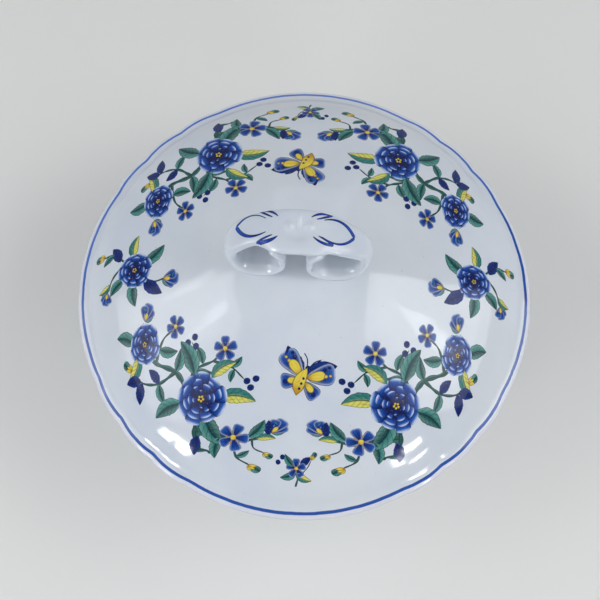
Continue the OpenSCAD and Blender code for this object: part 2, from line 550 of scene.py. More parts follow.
def newMaterial(name):
    material = bpy.data.materials.new(name)
    material.use_nodes = True
    tree = material.node_tree
    return material, tree, tree.nodes["Principled BSDF"]


def placeSkin(tree, shader, waves, marks):
    skin = placeGroup(tree, skinGroup, {"Waves": waves, "Marks": marks})
    bump = addNode(tree, "Bump", {"Strength": 1, "Distance": glaze["waveDepth"], "Height": skin["Height"]})
    fill(tree, shader.inputs, {"Normal": bump.outputs["Normal"], "IOR": glaze["index"]})
    return skin


def glazeMaterial(name, lineRuns=(), lineWidth=paintLine["width"]):
    # white glaze, with painted lines where the section's run reaches the given lengths
    material, tree, shader = newMaterial(name)
    skin = placeSkin(tree, shader, 1.0, 1.0)
    # painted shade in the handle's loops, along with the glaze pooled there
    colour = addMix(tree, addAttribute(tree, "hollow"), skin["Colour"], glaze["pool"])
    rough = addSum(tree, addProduct(tree, skin["Tone"], glaze["patchRough"]),
                   glaze["roughness"] - glaze["patchRough"] / 2)
    if lineRuns:
        run = addAttribute(tree, "run")
        beyond = addDifference(tree, run, lineRuns[0])
        lip = addProduct(tree, addRamp(tree, beyond, *glaze["lipStart"]),
                         addRamp(tree, beyond, *glaze["lipEnd"]))
        colour = addMix(tree, addProduct(tree, lip, glaze["lipShare"]), colour, glaze["lip"])
        for length in lineRuns:
            line = placeGroup(tree, lineGroup, {"Run": run, "Length": length, "Width": lineWidth})
            colour = addMix(tree, line["Mask"], colour, line["Colour"])
        bare = addAttribute(tree, "bare")
        grain = addNoise(tree, objectPlace(tree), glaze["clayGrain"], 3)
        colour = addMix(tree, bare, colour, addMix(tree, grain, glaze["clay"], glaze["clayLight"]))
        rough = addSum(tree, addProduct(tree, bare, glaze["clayRough"]), rough)
    fill(tree, shader.inputs, {"Base Color": colour, "Roughness": rough})
    return material


def inkMaterial(name, look):
    # printed colour under a thin glaze: the paint comes from the motif
    material, tree, shader = newMaterial(name)
    placeSkin(tree, shader, 1.0, 0.0)
    along, across, edge = addNode(tree, "SeparateXYZ", {0: addAttribute(tree, "motif", "Vector")}).outputs
    given = {"Paint": addAttribute(tree, "paint", "Color"), "Along": along, "Across": across, "Edge": edge}
    printed = placeGroup(tree, inkGroup, {**given, **look})
    rough = addSum(tree, addProduct(tree, printed["Streak"], glaze["patchRough"]), glaze["roughness"])
    fill(tree, shader.inputs, {"Base Color": printed["Colour"], "Roughness": rough,
                               "Specular IOR Level": glaze["inkGloss"]})
    return material


# the lid, drawn as a section and spun
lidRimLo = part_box("lid_rim")[0]
flangeLo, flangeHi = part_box("lid_flange")
lid = {
    "edge": 110.0,
    "lip": 4.8,             # how thick it is at the edge
    "wall": 4.2,
    "crownRadius": 115.0,
    "crownSlope": 20.5,     # degrees, where each arc ends
    "shoulderRadius": 62.0,
    "shoulderSlope": 48.0,
    "flareRadius": 9.0,
    "flareSlope": 10.0,
    "flangeWall": 3.8,
    "flangeRound": 1.1,
    "flangeStep": 0.8,      # where it meets the lip's underside
    "flangeRoot": 1.6,      # how far its inner side stops under the dome's underside
    "flangeCorner": 1.5,    # from its inner side in to where the underside starts
    "bareRound": 1,         # how far about its lower edge the clay is bare
    "lineInset": 3.05,      # from the edge to the middle of the blue line
    "spacing": 1.2,         # between the section's points
    "innerSpacing": 2.6,
    "steps": 288,
    "keepSharp": 55,        # degrees between faces that stay an edge
}
lid["seat"] = lidRimLo.z / mm
lid["flangeLow"] = flangeLo.z / mm
lid["flangeOut"] = flangeHi.x / mm


def lidArcs(inset, spacing):
    # the lid's section from the middle out to the lip, set in by a thickness
    lipRadius = lid["lip"] / 2
    lipCentre = Vector((lid["edge"] - lipRadius, lid["seat"] + lipRadius))
    flareEnd = lipCentre + lipRadius * facing(lid["flareSlope"])
    flareCentre = flareEnd + lid["flareRadius"] * facing(lid["flareSlope"])
    flareStart = flareCentre - lid["flareRadius"] * facing(lid["shoulderSlope"])
    shoulderCentre = flareStart - lid["shoulderRadius"] * facing(lid["shoulderSlope"])
    shoulderStart = shoulderCentre + lid["shoulderRadius"] * facing(lid["crownSlope"])
    crownTurn = radians(lid["crownSlope"])
    rise = (shoulderStart.x - lid["crownRadius"] * sin(crownTurn)) * tan(crownTurn)
    crownCentre = (0, shoulderStart.y + rise - lid["crownRadius"] * facing(lid["crownSlope"]).y)
    crown = arcPoints(crownCentre, lid["crownRadius"] - inset, 0, lid["crownSlope"], spacing)
    shoulder = arcPoints(shoulderCentre, lid["shoulderRadius"] - inset, lid["crownSlope"],
                         lid["shoulderSlope"], spacing)
    flare = arcPoints(flareCentre, -lid["flareRadius"] - inset, lid["shoulderSlope"],
                      lid["flareSlope"], spacing / 2)
    lip = arcPoints(lipCentre, lipRadius, lid["flareSlope"], 180, spacing / 2)
    return tidySection(crown + linePoints(spacing, crown[-1], shoulder[0]) + shoulder + flare), lip


def makeLid():
    outer, lip = lidArcs(0, lid["spacing"])
    inner = lidArcs(lid["wall"], lid["innerSpacing"])[0]
    seat = lid["seat"]
    low = lid["flangeLow"]
    out = lid["flangeOut"]
    inside = out - lid["flangeWall"]
    step = lid["flangeStep"]
    r = lid["flangeRound"]
    flange = (linePoints(1.5, (out + step, seat), (out, seat - step), (out, low + r))
              + arcPoints((out - r, low + r), r, 90, 180, 0.4)
              + arcPoints((inside + r, low + r), r, 180, 270, 0.4))
    under = [p for p in inner if p.x < inside - lid["flangeCorner"]]
    root = (inside, under[-1].y - lid["flangeRoot"])
    points = tidySection(outer + lip[1:] + linePoints(2, lip[-1], flange[0]) + flange
                         + linePoints(2, flange[-1], root) + under[::-1])
    about = lid["bareRound"]
    bare = [1.0 if low - about < p.y < low + r and inside - about < p.x < out + about else 0.0
            for p in points]
    piece = spinSection("lidBody", points, lid["steps"], {"run": runsOf(points), "bare": bare})
    giveLobes(piece, lid["edge"])
    smoothShade(piece, lid["keepSharp"])
    return piece, outer + lip[1:]


def pointAtRun(section, runs, run):
    # a place of a section and the way its surface faces, at a length along it
    i = min(max(bisect.bisect_right(runs, run) - 1, 0), len(section) - 2)
    t = (run - runs[i]) / (runs[i + 1] - runs[i])
    before = section[max(i - 1, 0)]
    after = section[min(i + 2, len(section) - 1)]
    here = (section[i + 1] - section[i]).normalized()
    start = ((section[i] - before).normalized() + here) if i else here
    end = (after - section[i + 1]).normalized() + here if i + 2 < len(section) else here
    way = start.normalized().lerp(end.normalized(), t).normalized()
    return section[i].lerp(section[i + 1], t), Vector((-way.y, way.x))


lidBody, lidSection = makeLid()
lidRuns = runsOf(lidSection)
lidLineRun = [run for run, point in zip(lidRuns, lidSection) if point.x > lid["edge"] - lid["lineInset"]][0]
lidGlaze = glazeMaterial("lidGlaze", [lidLineRun])
lidBody.data.materials.append(lidGlaze)
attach(lidBody, "lid")
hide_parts("lid_dome", "lid_rim", "lid_flange")
print("lid made, blue line at run", round(lidLineRun, 2))


# the handle: a strap whose ends roll into two loops
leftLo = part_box("handle_left_scroll")[0]
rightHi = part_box("handle_right_scroll")[1]
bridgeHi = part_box("handle_bridge")[1]
handle = {
    "top": bridgeHi.z / mm,
    "left": leftLo.x / mm,
    "right": rightHi.x / mm,
    "foot": leftLo.z / mm,
    "halfWidth": 9.7,
    "strap": 4.2,           # how thick it is
    "loop": 9.6,            # the radius inside a loop
    "crook": 6.0,           # the radius of the strap's inner end
    "swell": 2.9,           # how much thicker the loops are in the middle of their depth
    "swellPower": 0.7,
    "rim": 32,              # points round the strap
    "voxel": 0.42,
    "smoothing": 5,
    "shrink": 0.42,         # what the smoothing takes off each end
    "keepSharp": 80,
    "spinSteps": (18, 44, 10),      # along the strap, round a loop and along its inner end
    # from the strap's middle: how far its front and back edges stand out there
    "stations": [(-32.6, 0.5, 0.6), (-31.6, 2.2, 4.6), (-29.0, 3.4, 7.6), (-23.5, 4.1, 9.1),
                 (-17.5, 4.6, 9.6), (-14.0, 6.4, 9.8), (-10.5, 8.6, 10.0), (-4.0, 10.0, 10.2),
                 (4.0, 10.2, 10.0), (9.5, 10.0, 9.5), (13.5, 8.4, 9.0), (19.0, 8.2, 8.0),
                 (25.0, 6.8, 6.3), (30.0, 4.6, 3.9), (32.6, 0.5, 0.5)],
    "sideRound": 0.34,      # lower is squarer, across the strap's width
    "faceRound": 0.7,       # the same across its thickness
    "crookTurn": 62,        # degrees that the strap's inner end curls in
    "pad": (6.4, 9.0, 1.5),     # the clay pressed round each foot
    "padRise": 0.9,
    "leftLoopFront": 1.2,   # how far the left loop's front lies behind the right one's
    "rightLoopIn": 1.3,     # how far the right loop reaches in past the left one's mirror image
    # the places between which each of these comes in or goes
    "swellUnder": (9, 1),           # over a loop's middle
    "strapOver": (12, 6),           # over the foot, and under the top
    "leftLoopFade": (0, -8),        # across from the strap's middle
    "rightLoopFade": (2, 5),
    "rightLoopEnd": (18, 8),
    "loopUnder": (4, 1),            # over a loop's middle, and under the strap
    "shadedAndPooled": 0.62,         # how dark the painted shade and the pooled glaze are in the loops
}
# the painted shade and pooled glaze fade out between these distances from a loop's middle
handle["poolEdge"] = (handle["loop"] + 0.6, handle["loop"] - 1.6)


def strapEdge(x, front):
    # how far the strap's front or back edge stands out at a distance from its middle
    stations = handle["stations"]
    side = 1 if front else 2
    x = min(max(x, stations[0][0]), stations[-1][0] - 0.001)
    i = bisect.bisect_right([s[0] for s in stations], x) - 1
    before, here, after, beyond = [stations[min(max(i + k, 0), len(stations) - 1)] for k in (-1, 0, 1, 2)]
    span = after[0] - here[0]
    t = (x - here[0]) / span
    slopeIn = (after[side] - before[side]) / (after[0] - before[0]) * span
    slopeOut = (beyond[side] - here[side]) / (beyond[0] - here[0]) * span
    return (here[side] * (1 + 2 * t) * (1 - t) ** 2 + slopeIn * t * (1 - t) ** 2
            + after[side] * t * t * (3 - 2 * t) + slopeOut * t * t * (t - 1))


def loopEdge(x):
    # the same lower down, where both sides are alike and the ends are round
    reach = (handle["right"] - handle["left"]) / 2 + 0.15
    return max(handle["halfWidth"] * max(1 - (abs(x) / reach) ** 5, 0) ** 0.5, 0.3)


def pulled(place, scroll, half, middle):
    # where the hand pulls a point of the even strap: thicker loops, uneven edges, a loop nearer the middle
    x, y, z = place
    t = handle["strap"]
    wide = handle["halfWidth"]
    aside = abs(x) - scroll.x
    reach = hypot(aside, z - scroll.y)
    if handle["loop"] - 2 < reach < handle["loop"] + t / 2:
        swell = max(1 - (y / wide) ** 2, 0) ** handle["swellPower"] * handle["swell"] / reach
        swell *= smoothStep(*[scroll.y + over for over in handle["swellUnder"]], z)
        x -= copysign(aside * swell, x)
        z -= (z - scroll.y) * swell
    over, under = handle["strapOver"]
    high = smoothStep(handle["foot"] + over, handle["top"] - under, z)
    width = loopEdge(x) + (strapEdge(x, y < 0) - loopEdge(x)) * high
    if y < 0 and x < 0:
        width -= handle["leftLoopFront"] * (1 - high) * smoothStep(*handle["leftLoopFade"], x) * width / wide
    over, under = handle["loopUnder"]
    low = 1 - smoothStep(scroll.y + over, handle["top"] - t - under, z)
    inward = smoothStep(*handle["rightLoopFade"], x) * smoothStep(*handle["rightLoopEnd"], x)
    x -= handle["rightLoopIn"] * inward * low
    x *= 1 + handle["shrink"] / half
    return Vector((x + middle, y * width / wide, z))


def makeHandle():
    t = handle["strap"]
    scrollRadius = handle["loop"] + t
    middle = (handle["left"] + handle["right"]) / 2
    half = (handle["right"] - handle["left"]) / 2
    scroll = Vector((half - scrollRadius, handle["foot"] + scrollRadius))
    rise = handle["top"] - scroll.y
    bowRadius = (scroll.x ** 2 + rise ** 2 - scrollRadius ** 2) / (2 * (rise - scrollRadius))
    bowZ = handle["top"] - bowRadius
    crookReach = bowRadius - t - handle["crook"]
    crookX = scroll.x - handle["loop"] + handle["crook"]
    crookZ = bowZ + sqrt(crookReach ** 2 - crookX ** 2)
    lean = atan2(scroll.x, scroll.y - bowZ)
    bpy.ops.mesh.primitive_circle_add(vertices=handle["rim"], radius=1, fill_type="NOTHING")
    piece = justAdded("handleBody")
    for vertex in piece.data.vertices:      # a flat strap with soft sides
        s, c = vertex.co.xy
        y = copysign(abs(s) ** handle["sideRound"], s) * handle["halfWidth"]
        z = copysign(abs(c) ** handle["faceRound"], c) * t / 2
        vertex.co = (0, y * mm, (handle["top"] - t / 2 + z) * mm)

    def spinOn(steps, angle, x, z):
        bpy.ops.mesh.spin(steps=steps, angle=angle, center=(x * mm, 0, z * mm), axis=(0, -1, 0))

    strapSteps, loopSteps, crookSteps = handle["spinSteps"]
    bpy.ops.object.mode_set(mode="EDIT")
    bpy.ops.mesh.select_all(action="SELECT")
    spinOn(strapSteps, lean, 0, bowZ)
    spinOn(loopSteps, radians(270) - lean, scroll.x, scroll.y)
    bpy.ops.mesh.extrude_region_move(TRANSFORM_OT_translate={"value": (0, 0, (crookZ - scroll.y) * mm)})
    spinOn(crookSteps, radians(handle["crookTurn"]), crookX, crookZ)
    bpy.ops.mesh.edge_face_add()
    bpy.ops.object.mode_set(mode="OBJECT")
    mergeDoubles(piece)
    mirror = piece.modifiers.new("otherHalf", "MIRROR")
    mirror.use_clip = True
    mirror.merge_threshold = 0.0002
    applyModifiers(piece)
    for side in (-1, 1):
        bpy.ops.mesh.primitive_uv_sphere_add(segments=32, ring_count=16, radius=1)
        pad = justAdded("pad")
        place = Vector((side * scroll.x, 0, handle["foot"] + handle["padRise"])) * mm
        pad.data.transform(Matrix.Translation(place) @ Matrix.Diagonal((*(Vector(handle["pad"]) * mm), 1)))
        piece = joinPieces([piece, pad], "handleBody")
    turnFacesOut(piece)
    for vertex in piece.data.vertices:
        vertex.co = pulled(vertex.co / mm, scroll, half, middle) * mm
    remesh = piece.modifiers.new("clay", "REMESH")
    remesh.mode = "VOXEL"
    remesh.voxel_size = handle["voxel"] * mm
    smooth = piece.modifiers.new("sponge", "SMOOTH")
    smooth.factor = 0.5
    smooth.iterations = handle["smoothing"]
    applyModifiers(piece)
    # painted shade deep in each loop, along with the glaze that pools there
    hollow = []
    for vertex in piece.data.vertices:
        x, y, z = vertex.co / mm
        reach = hypot(abs(x - middle) - scroll.x, z - scroll.y)
        hollow.append(smoothStep(*handle["poolEdge"], reach) * handle["shadedAndPooled"])
    addFloats(piece, "hollow", hollow)
    return piece, middle


relief = {
    "aside": 0.6,           # the shell stands this far right of the strap's middle
    "lobeAt": 4.3,          # from there to each of its two lobes
    "lobeBack": 2.2,
    "lobeHeight": 1.2,
    "lobeSize": 2.1,
    "ridgeHeight": 0.6,
    "ridgeSize": 0.7,
    "dentDepth": 1.1,
    "dentAt": -2.6,
    "dentSize": (3.4, 2.0),
    "sink": 1.25,           # how deep the ground lies that the shell stands in
    "groundAt": 1.8,
    "groundSize": (7.2, 3.8),
    "ridgeStart": (0.5, 2.5),
    "ridgeEnd": (8.5, 5),
    "reach": 12,            # nothing is pressed farther out or deeper down than this
    "depth": 2.4,
    "settle": 3,            # from the top down to here, what stands out sinks by all of it
}


def mound(x, y, wide, deep):
    return exp(-((x / wide) ** 2 + (y / deep) ** 2))


def pressRelief(piece, middle):
    # a small shell pressed into the strap's middle, with a thumb dent in front of it
    size = relief["lobeSize"]
    for vertex in piece.data.vertices:
        x, y, z = vertex.co / mm
        x -= middle + relief["aside"]
        if z < handle["top"] - relief["depth"] or abs(x) > relief["reach"]:
            continue
        back = y - relief["lobeBack"]
        lobesUp = sum(mound(x - side * relief["lobeAt"], back, size, size) for side in (-1, 1))
        ridge = exp(-(x / relief["ridgeSize"]) ** 2)
        ridge = ridge * smoothStep(*relief["ridgeStart"], y) * smoothStep(*relief["ridgeEnd"], y)
        dent = mound(x, y - relief["dentAt"], *relief["dentSize"])
        ground = mound(x, y - relief["groundAt"], *relief["groundSize"])
        vertex.co.z += (lobesUp * relief["lobeHeight"] + ridge * relief["ridgeHeight"]
                        - dent * relief["dentDepth"] - ground * relief["sink"]) * mm
    over = max(max(v.co.z for v in piece.data.vertices) / mm - handle["top"], 0)
    full = handle["top"] - relief["settle"]
    for vertex in piece.data.vertices:
        vertex.co.z -= over * smoothStep(handle["foot"], full, vertex.co.z / mm) * mm


handleBody, handleMiddle = makeHandle()
pressRelief(handleBody, handleMiddle)
smoothShade(handleBody, handle["keepSharp"])
handleGlaze = glazeMaterial("handleGlaze")
handleBody.data.materials.append(handleGlaze)
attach(handleBody, "lid")
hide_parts("handle_bridge", "handle_left_scroll", "handle_right_scroll")
print("handle made")


# the bowl under the lid, which the photo doesn't show
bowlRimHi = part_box("bowl_rim")[1]
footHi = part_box("foot_ring")[1]
bowl = {
    "edge": 105.2,
    "height": bowlRimHi.z / mm,
    "rimWidth": 6.6,
    "rimHeight": 8.0,
    "rimRound": 2.0,
    "rimStep": 1.2,
    "rimUnder": (0.9, 0.1, 1.3),    # how the rim's underside rises: mm in, mm up there, mm up at the edge
    "rimInside": (2.5, 0.5),        # where the mouth's wall and the liner end, over and under the rim
    "wall": 4.4,
    "turn": 75,             # degrees that the wall's curve covers
    "foot": footHi.x / mm,
    "footWidth": 5.5,
    "footHeight": 7.0,
    "footRound": 1.4,
    "footCorner": 1.5,      # where the foot's inner side meets the underside
    "lineWidth": 0.9,
    "lineDrops": [3.6, 5.6],    # from the rim's top down to each blue line
    "footLineRise": 0.6,        # the third line is this far over where the foot meets the wall
    "wallPoints": 46,
    "steps": 256,
    "keepSharp": 55,
    "bareRise": 0.9,        # the foot's edge has no glaze up to here
}


def wallPoint(i, inset):
    # a point of the bowl's wall, on an ellipse from the foot up to the rim
    top = bowl["height"] - bowl["rimHeight"]
    whole = radians(bowl["turn"])
    wide = (bowl["edge"] - bowl["rimStep"] - bowl["foot"]) / sin(whole)
    tall = (top - bowl["footHeight"]) / (1 - cos(whole))
    u = radians(bowl["turn"] * i / bowl["wallPoints"])
    inward = Vector((-tall * sin(u), wide * cos(u))).normalized()
    place = Vector((bowl["foot"] + wide * sin(u), bowl["footHeight"] + tall * (1 - cos(u))))
    return place + inward * inset


def makeBowl():
    edge = bowl["edge"]
    top = bowl["height"]
    rimLow = top - bowl["rimHeight"]
    r = bowl["rimRound"]
    mouth = edge - bowl["rimWidth"]
    foot = bowl["foot"]
    base = bowl["footHeight"]
    f = bowl["footRound"]
    corner = bowl["footCorner"]
    footIn = foot - bowl["footWidth"]
    underIn, underLow, underHigh = bowl["rimUnder"]
    mouthLow, linerTop = bowl["rimInside"]
    steps = range(bowl["wallPoints"] + 1)
    wall = [wallPoint(i, 0) for i in steps]
    liner = [wallPoint(i, bowl["wall"]) for i in reversed(steps)]
    inside = [p for p in liner if p.y < rimLow - linerTop]
    points = tidySection(
        linePoints(4, (0, base), (footIn - corner, base))
        + arcPoints((footIn - corner, base - corner), corner, 0, 90, 0.5)
        + linePoints(1.5, (footIn, base - corner), (footIn, f))
        + arcPoints((footIn + f, f), -f, 90, 0, 0.35)
        + arcPoints((foot - f, f), f, 180, 90, 0.35)
        + linePoints(1.5, (foot, f), (foot, base - bowl["footLineRise"]))
        + wall[1:]
        + linePoints(0.6, (edge - underIn, rimLow + underLow), (edge, rimLow + underHigh))
        + linePoints(0.8, (edge, rimLow + underHigh), (edge, top - r))
        + arcPoints((edge - r, top - r), r, 90, 0, 0.4)
        + arcPoints((mouth + r, top - r), r, 0, -90, 0.4)
        + linePoints(1.2, (mouth, top - r), (mouth, rimLow + mouthLow))
        + inside
        + linePoints(4, inside[-1], (0, base + bowl["wall"])))
    runs = runsOf(points)
    bare = [1.0 if p.y < bowl["bareRise"] else 0.0 for p in points]
    piece = spinSection("bowlBody", points, bowl["steps"], {"run": runs, "bare": bare})
    giveLobes(piece, edge)
    smoothShade(piece, bowl["keepSharp"])
    marks = [Vector((edge, top - drop)) for drop in bowl["lineDrops"]]
    marks.append(Vector((foot + 1, base + bowl["footLineRise"])))
    lines = [min(zip(runs, points), key=lambda found: (found[1] - mark).length)[0] for mark in marks]
    return piece, wall, lines


bowlBody, bowlSection, bowlLines = makeBowl()
bowlRuns = runsOf(bowlSection)
bowlGlaze = glazeMaterial("bowlGlaze", bowlLines, bowl["lineWidth"])
bowlBody.data.materials.append(bowlGlaze)
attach(bowlBody, "bowl")
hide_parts("bowl_wall", "bowl_rim", "foot_ring")
print("bowl made")


# motifs drawn flat, each 1 long, and drawings made of them in mm
colours = {
    "deep": ink(0, 18, 82),
    "cobalt": ink(0, 54, 140),
    "mid": ink(44, 100, 184),
    "pale": ink(200, 214, 242),
    "leafDeep": ink(14, 70, 74),
    "leaf": ink(52, 126, 120),
    "leafLight": ink(124, 182, 168),
    "stem": ink(34, 88, 84),
    "yellow": ink(232, 208, 76),
    "lemon": ink(220, 216, 104),
    "ochre": ink(188, 132, 34),
}
motifs = {}
tilted = 0.014      # how far a motif's sides stand up and down, so that copies don't lie in one plane


def paintedGrid(name, along, across, follow, colour):
    # a grid laid along a line and painted point by point: at a share of the way, follow gives the
    # place, the way on, half the width, and what the colour and the streaks go by
    bpy.ops.mesh.primitive_grid_add(x_subdivisions=along, y_subdivisions=across, size=2)
    piece = justAdded(name)
    mesh = piece.data
    paint = mesh.attributes.new("paint", "FLOAT_COLOR", "POINT")
    motif = mesh.attributes.new("motif", "FLOAT_VECTOR", "POINT")
    for i, vertex in enumerate(mesh.vertices):
        c = vertex.co.y
        here, way, half, share, mark = follow((vertex.co.x + 1) / 2)
        edge = (1 - abs(c)) * half
        vertex.co = (here.x - way.y * c * half, here.y + way.x * c * half, c)
        paint.data[i].color = (*colour(share, c, edge), 1)
        motif.data[i].vector = (mark, c, edge)
    return piece


def drawMotif(name, along, across, line, width, colour):
    # a flat motif 1 long, as wide as asked

    def follow(t):
        a = sin(t * pi / 2)       # closer together towards the tip
        way = Vector(line(min(a + 0.01, 1))) - Vector(line(max(a - 0.01, 0)))
        return Vector(line(a)), way.normalized(), width(a), a, a

    piece = paintedGrid(name, along, across, follow, colour)
    for vertex in piece.data.vertices:
        vertex.co.z *= tilted
    mergeDoubles(piece, 0.0005)
    motifs[name] = piece.data
    bpy.data.objects.remove(piece)


def petalColour(a, c, edge):
    # dark where the next tier lies over it, pale along the edge
    inner = blendOf(colours["deep"], colours["cobalt"], smoothStep(0.56, 0.74, a))
    inner = blendOf(inner, colours["mid"], smoothStep(0.74, 0.92, a) * 0.95)
    inner = blendOf(inner, colours["deep"], smoothStep(0.7, 1.0, abs(c)) * 0.6)
    return blendOf(colours["pale"], inner, smoothStep(0.03, 0.12, 1 - a))


def openPetalColour(a, c, edge):
    inner = blendOf(colours["deep"], colours["cobalt"], smoothStep(0.1, 0.6, a))
    inner = blendOf(inner, colours["mid"], smoothStep(0.55, 0.95, a) * 0.6)
    near = min(edge, (1 - a) * 1.2)
    return blendOf(colours["pale"], inner, smoothStep(0.01, 0.10, near))


def leafColour(a, c, edge):
    side = colours["leaf"] if c > 0 else colours["leafDeep"]
    return blendOf(side, colours["leafLight"], smoothStep(0.15, 0.8, abs(c)) * 0.55 * (1 - a * 0.5))


def twoToneColour(a, c, edge):
    half = smoothStep(-0.12, 0.12, c) * smoothStep(0.05, 0.2, a)
    return blendOf(colours["leaf"], colours["lemon"], half)


def yellowColour(a, c, edge):
    return blendOf(colours["ochre"], colours["yellow"], smoothStep(0.05, 0.5, a))


def blueColour(a, c, edge):
    return blendOf(colours["deep"], colours["cobalt"], smoothStep(0.2, 0.9, abs(c)) * 0.7 + 0.15)


def straight(a):
    return (a, 0)


def bowed(rise):
    return lambda a: (a, rise * sin(a * pi))


def petalWidth(wide, blunt=7):
    return lambda a: wide * (a ** 0.6) * max(1 - a ** blunt, 0) ** 0.5


def ruffled(wide):
    return lambda a: wide * (a ** 0.9) * max(1 - a ** 7, 0) ** 0.5 * (1 + 0.05 * cos(a * 22))


def leafWidth(wide, teeth=0.05):
    return lambda a: wide * sin(pi * a ** 0.85) ** 0.85 * (1 + teeth * cos(a * 60))


def discWidth(a):
    return sqrt(max(0.25 - (a - 0.5) ** 2, 0))


drawMotif("petal", 12, 9, straight, ruffled(0.46), petalColour)
drawMotif("roundPetal", 9, 9, straight, petalWidth(0.46), openPetalColour)
drawMotif("leafPlain", 20, 8, bowed(0.10), leafWidth(0.24), leafColour)
drawMotif("leafTwoTone", 20, 8, bowed(-0.12), leafWidth(0.22), twoToneColour)
drawMotif("leafBlue", 20, 8, bowed(0.06), leafWidth(0.27), blueColour)
drawMotif("sepal", 8, 4, bowed(0.08), leafWidth(0.22, 0), yellowColour)
drawMotif("calyx", 8, 6, straight, petalWidth(0.42, 3), yellowColour)
drawMotif("greenBud", 8, 6, straight, petalWidth(0.44, 4), leafColour)
drawMotif("berry", 10, 6, lambda a: (a - 0.5, 0), discWidth, blueColour)
drawMotif("dot", 6, 4, lambda a: (a - 0.5, 0), discWidth, yellowColour)
print("motifs drawn")


def stamp(sheet, family, name, x, y, angle, size, lift):
    # lays a copy of a motif on the sheet; size is its length in mm
    mesh = motifs[name].copy()
    layer = mesh.attributes["motif"]
    for item in layer.data:
        item.vector[2] *= size
    place = Matrix.Translation((x, y, lift)) @ Matrix.Rotation(radians(angle), 4, "Z")
    mesh.transform(place @ Matrix.Diagonal((size, size, 1, 1)))
    sheet[family].append(addObject(name, mesh))


def curveThrough(points, step=1.0):
    # a smooth curve through the given points, about one point each mm
    ends = [Vector(points[0]) * 2 - Vector(points[1])] + [Vector(p) for p in points]
    ends.append(Vector(points[-1]) * 2 - Vector(points[-2]))
    curve = []
    for a, b, c, d in zip(ends, ends[1:], ends[2:], ends[3:]):
        count = max(2, ceil((c - b).length / step))
        for i in range(count):
            t = i / count
            curve.append(0.5 * (2 * b + (c - a) * t + (2 * a - 5 * b + 4 * c - d) * t * t
                                + (3 * b - a - 3 * c + d) * t ** 3))
    return curve + [Vector(points[-1])]


def ribbon(name, curve, halfWidths, colour, lift, rows=2):
    # a strip along a curve
    last = len(curve) - 1

    def follow(t):
        step = round(t * last)
        way = (curve[min(step + 1, last)] - curve[max(step - 1, 0)]).normalized()
        return curve[step], way, halfWidths(step / last), step / last, step / 6

    piece = paintedGrid(name, last, rows, follow, colour)
    for vertex in piece.data.vertices:
        vertex.co.z = lift
    return piece


flowers = {
    "roseTiers": [(9, 1.0, 0.0), (8, 0.78, 22), (6, 0.56, 5), (4, 0.36, 30)],    # petals, length, turn
    "knotEvery": 7,         # mm along a stalk
    "knot": 0.22,
    # how high the pieces of a drawing lie over its ground, in mm
    "tierStep": 0.012,
    "leaf": 0.02,
    "leafStep": 0.004,
    "budLeaf": 0.03,
    "rose": 0.034,
    "greenBud": 0.034,
    "petal": 0.036,
    "middlePetal": 0.046,
    "heart": 0.05,
    "calyx": 0.058,
}


def stem(sheet, thick, thin, *points):
    # a stalk with knots, from its thick end to its tip
    curve = curveThrough(points)
    knots = len(curve) / flowers["knotEvery"]

    def half(t):
        base = thick + (thin - thick) * t
        knot = 1 + flowers["knot"] * sin(t * knots * tau)
        return (base * knot * 0.5) * (1 if t < 0.98 else 0.4)

    def colour(t, c, edge):
        return blendOf(colours["stem"], colours["leafLight"], smoothStep(0, 1, c) * 0.4)

    sheet["green"].append(ribbon("stem", curve, half, colour, 0))


def fiveDots(sheet, x, y, turn, reach, size, lift):
    for i in range(5):
        way = radians(turn + i * 72)
        stamp(sheet, "yellow", "dot", x + cos(way) * reach, y + sin(way) * reach, 0, size, lift)


def rose(sheet, x, y, size, turn):
    lift = flowers["rose"]
    for count, length, shift in flowers["roseTiers"]:
        for i in range(count):
            reach = size * length * (1 + 0.06 * sin(i * 2.3 + shift))      # no two quite alike
            stamp(sheet, "blue", "petal", x, y, turn + shift + i * 360 / count, reach, lift)
        lift += flowers["tierStep"]
    fiveDots(sheet, x, y, turn, size * 0.09, size * 0.11, lift + flowers["tierStep"])


def blossom(sheet, x, y, size, turn):
    for i in range(5):
        reach = size * (1 + 0.05 * sin(i * 3))
        stamp(sheet, "blue", "roundPetal", x, y, turn + i * 72, reach, flowers["petal"])
    stamp(sheet, "yellow", "dot", x, y, 0, size * 0.42, flowers["heart"])
    fiveDots(sheet, x, y, turn + 36, size * 0.42, size * 0.13, flowers["heart"])


def bud(sheet, x, y, angle, size):
    for turn, length, layer in ((-24, 0.86, "petal"), (24, 0.86, "petal"), (0, 1.0, "middlePetal")):
        stamp(sheet, "blue", "roundPetal", x, y, angle + turn, size * length, flowers[layer])
    for turn in (-34, 34):
        stamp(sheet, "green", "leafPlain", x, y, angle + turn, size * 0.8, flowers["budLeaf"])
    stamp(sheet, "yellow", "calyx", x, y, angle, size * 0.46, flowers["calyx"])


def greenBud(sheet, x, y, angle, size):
    stamp(sheet, "green", "greenBud", x, y, angle, size, flowers["greenBud"])
    for turn in (-28, 0, 28):
        stamp(sheet, "yellow", "sepal", x, y, angle + turn, size * 0.62, flowers["heart"])


def berries(sheet, size, *places):
    for x, y in places:
        stamp(sheet, "blue", "berry", x, y, 0, size, flowers["petal"])


def leaves(sheet, *rows):
    # kind, x, y, angle, length
    kinds = {"plain": ("green", "leafPlain"), "two": ("green", "leafTwoTone"), "blue": ("blue", "leafBlue")}
    for i, (kind, x, y, angle, length) in enumerate(rows):
        stamp(sheet, *kinds[kind], x, y, angle, length, flowers["leaf"] + flowers["leafStep"] * (i % 3))


